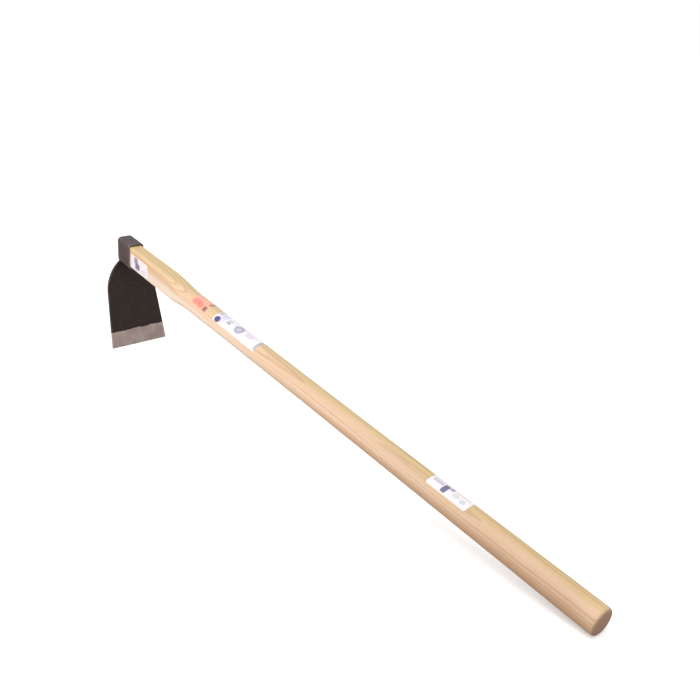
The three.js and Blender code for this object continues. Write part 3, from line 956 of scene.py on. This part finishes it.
def sticker_materials():
    eye_marks = [
        (BAR, 25, -3, 7, 6, 0.75, MAUVE),
        (BAR, 30, 6, 8.5, 6, 0.9, MAUVE),
        (BAR, 25, 12.5, 6, 1.2, 0.7, LILAC),
        (BAR, 54, 6, 10, 1.1, 0.8, LILAC),
        (BAR, 54, 10, 10, 1.1, 0.8, LILAC),
    ]
    red_marks = [
        (BAR, 233, 9, 9, 5, 0.6, colour(236, 104, 104)),
        (DISC, 246, 10, 7, 5, 0.55, colour(226, 92, 76)),
        (BAR, 246, -3, 9, 6, 0.5, colour(244, 186, 150)),
        (BAR, 260, 11.5, 4.5, 4, 0.85, BROWN),
        (BAR, 262, -4, 3.5, 7, 0.8, colour(150, 118, 84)),
    ]
    long_marks = [
        (BAR, 304, 4, 9, 10, 0.6, LILAC),
        (DISC, 298, 11.5, 6.5, 5, 0.95, NAVY),
        (BAR, 293, -3, 2.5, 6, 0.6, colour(140, 128, 124)),
        (BAR, 323, 1, 5, 1.6, 0.7, GREY),
        (BAR, 323, 6, 5, 2.4, 0.9, GREY),
        (DISC, 349, 3.4, 10, 8, 0.85, colour(158, 152, 180)),
        (DISC, 349, 3.4, 4.5, 3.6, 0.35, WHITE),
        (BAR, 375, 0.5, 9, 1.2, 0.6, colour(180, 180, 194)),
        (BAR, 375, 4.5, 9, 1.2, 0.6, colour(180, 180, 194)),
        (BAR, 401.5, 4, 2.4, 11, 0.7, colour(150, 132, 148)),
    ]
    small_marks = [
        (BAR, 784, 2, 3.6, 7, 0.95, SLATE),
        (BAR, 791, -3.5, 3, 2.6, 0.7, SLATE),
        (BAR, 771, -4, 8, 1.6, 0.7, LILAC),
        (BAR, 771, 0, 8, 1.6, 0.7, GREY),
        (DISC, 801, 2.4, 4.5, 3.5, 0.5, colour(184, 206, 186)),
        (DISC, 812, 3.8, 4, 3.2, 0.5, colour(172, 184, 204)),
        (BAR, 806, -5, 8, 1.2, 0.4, colour(232, 190, 196)),
    ]
    return {
        "eye_label": paper_material("eye_paper", WHITE, eye_marks, unrolled=False),
        "red_label": paper_material("red_paper", colour(240, 160, 130), red_marks),
        "long_label": paper_material("long_paper", WHITE, long_marks),
        "small_label": paper_material("small_paper", WHITE, small_marks),
    }


# ---------------------------------------------------------------- studio
FLOOR_SIZE = 60  # metres, so that its far edge runs out of sight
FLOOR_SEEN = (0.99, 0.99, 0.99, 1)
FLOOR_BOUNCE = (0.38, 0.31, 0.255, 1)  # the dimmer, warmer light it throws back up at the hoe
FLOOR_GLOW = 0.3  # lightens the hoe's shadow
SKY_WHITE = 1.0
SKY_LIGHT = 0.75

CAMERA_AZIMUTH = 50.38  # degrees round from the side that looks along +Y
CAMERA_ELEVATION = 21.48
CAMERA_ROLL = 0.66
CAMERA_DISTANCE = 1.30509  # metres
CAMERA_AIM = Vector((TOOL.translation.x + 0.3703, 0.19192, 0.06))
LENS_LENGTH = 40.71  # mm
SENSOR_WIDTH = 36


def build_floor():
    half = FLOOR_SIZE / 2
    mesh = bpy.data.meshes.new("floor")
    corners = [(-half, -half, 0), (half, -half, 0), (half, half, 0), (-half, half, 0)]
    mesh.from_pydata(corners, [], [(0, 1, 2, 3)])
    floor = bpy.data.objects.new("floor", mesh)
    bpy.context.scene.collection.objects.link(floor)
    shader = Shader("white_floor")
    seen = shader.add("LightPath", output="Is Camera Ray")
    shader.set(Base_Color=shader.mix(seen, FLOOR_BOUNCE, FLOOR_SEEN), Roughness=0.9)
    shader.set(Specular_IOR_Level=0.1, Emission_Color=(1, 1, 1, 1))
    shader.set(Emission_Strength=shader.times(seen, FLOOR_GLOW))
    mesh.materials.append(shader.material)


def light_world():
    """An even sky: white where it is seen, and a little dimmer where it lights the hoe."""
    world = bpy.data.worlds.new("studio")
    world.use_nodes = True
    sky = world.node_tree.nodes["Background"]
    path = world.node_tree.nodes.new("ShaderNodeLightPath")
    level = world.node_tree.nodes.new("ShaderNodeMapRange")
    level.inputs["To Min"].default_value = SKY_LIGHT
    level.inputs["To Max"].default_value = SKY_WHITE
    world.node_tree.links.new(path.outputs["Is Camera Ray"], level.inputs["Value"])
    world.node_tree.links.new(level.outputs["Result"], sky.inputs["Strength"])
    sky.inputs["Color"].default_value = (1, 1, 1, 1)
    bpy.context.scene.world = world


def soft_sun(name, side, height, irradiance, spread):
    """A far, wide light from the given side and height, in degrees. Side 0 shines along +Y."""
    lamp = bpy.data.lights.new(name, "SUN")
    lamp.energy = irradiance
    lamp.angle = radians(spread)
    sun = bpy.data.objects.new(name, lamp)
    sun.rotation_euler = (radians(90 - height), 0, radians(side))
    bpy.context.scene.collection.objects.link(sun)


def soft_box(name, place, aim, size, watts):
    """A square area light at place, turned to aim, both in row metres."""
    lamp = bpy.data.lights.new(name, "AREA")
    lamp.size = size
    lamp.energy = watts
    box = bpy.data.objects.new(name, lamp)
    box.location = place
    box.visible_camera = False
    box.rotation_euler = (Vector(aim) - Vector(place)).to_track_quat("-Z", "Y").to_euler()
    bpy.context.scene.collection.objects.link(box)


def build_camera():
    """The viewpoint: where it looks, from which side, how high, how far and through which lens."""
    azimuth = radians(CAMERA_AZIMUTH)
    elevation = radians(CAMERA_ELEVATION)
    roll = radians(CAMERA_ROLL)
    back = Vector((sin(azimuth) * cos(elevation), -cos(azimuth) * cos(elevation), sin(elevation)))
    level = Vector((cos(azimuth), sin(azimuth), 0))
    upright = back.cross(level)
    right = level * cos(roll) + upright * sin(roll)
    above = upright * cos(roll) - level * sin(roll)
    lens = bpy.data.cameras.new("camera")
    lens.sensor_width = SENSOR_WIDTH
    lens.lens = LENS_LENGTH
    camera = bpy.data.objects.new("camera", lens)
    turn = Matrix((right, above, back)).transposed().to_4x4()
    camera.matrix_world = Matrix.Translation(CAMERA_AIM + back * CAMERA_DISTANCE) @ turn
    bpy.context.scene.collection.objects.link(camera)
    bpy.context.scene.camera = camera


# ---------------------------------------------------------------- the hoe in its studio
# The ash's top tint is painted shade, darker and more golden than the rest, and its glare and streaks
# are painted light and shade; the wedge wood's top tint is painted light, a little lighter than its
# rest.
ash = wood_material("ash", (colour(215, 187, 134), colour(224, 189, 157)), colour(172, 126, 84),
                    colour(190, 160, 138), 0.4, painted_glare=0.75, streaks=0.5)
hardwood = wood_material("wedge_wood", (colour(190, 140, 95), colour(180, 128, 88)),
                         colour(120, 78, 46), colour(140, 98, 64), 0.6)
blade_steel = blade_material()
socket_steel = forged_material("socket_steel", colour(70, 58, 59), colour(93, 79, 80),
                               colour(146, 136, 142), 0.3, 0.42)
weld_steel = forged_material("weld_steel", colour(50, 42, 42), colour(76, 66, 66),
                             colour(116, 106, 106), 0.4, 0.42)
wedge_steel = forged_material("wedge_steel", colour(108, 102, 100), colour(148, 142, 138),
                              colour(190, 186, 182), 0.85, 0.35)

build_handle(ash)
build_wedges(hardwood, wedge_steel)
build_socket(socket_steel)
build_blade(blade_steel)
build_welds(weld_steel)
build_stickers(sticker_materials())

build_floor()
light_world()
soft_sun("key", side=0, height=75, irradiance=1.3, spread=45)
soft_box("head_fill", (-0.3, -0.65, 0.06), (-0.3, 0, 0.12), 0.4, 3.6)
build_camera()
bpy.context.scene.view_settings.view_transform = "Standard"
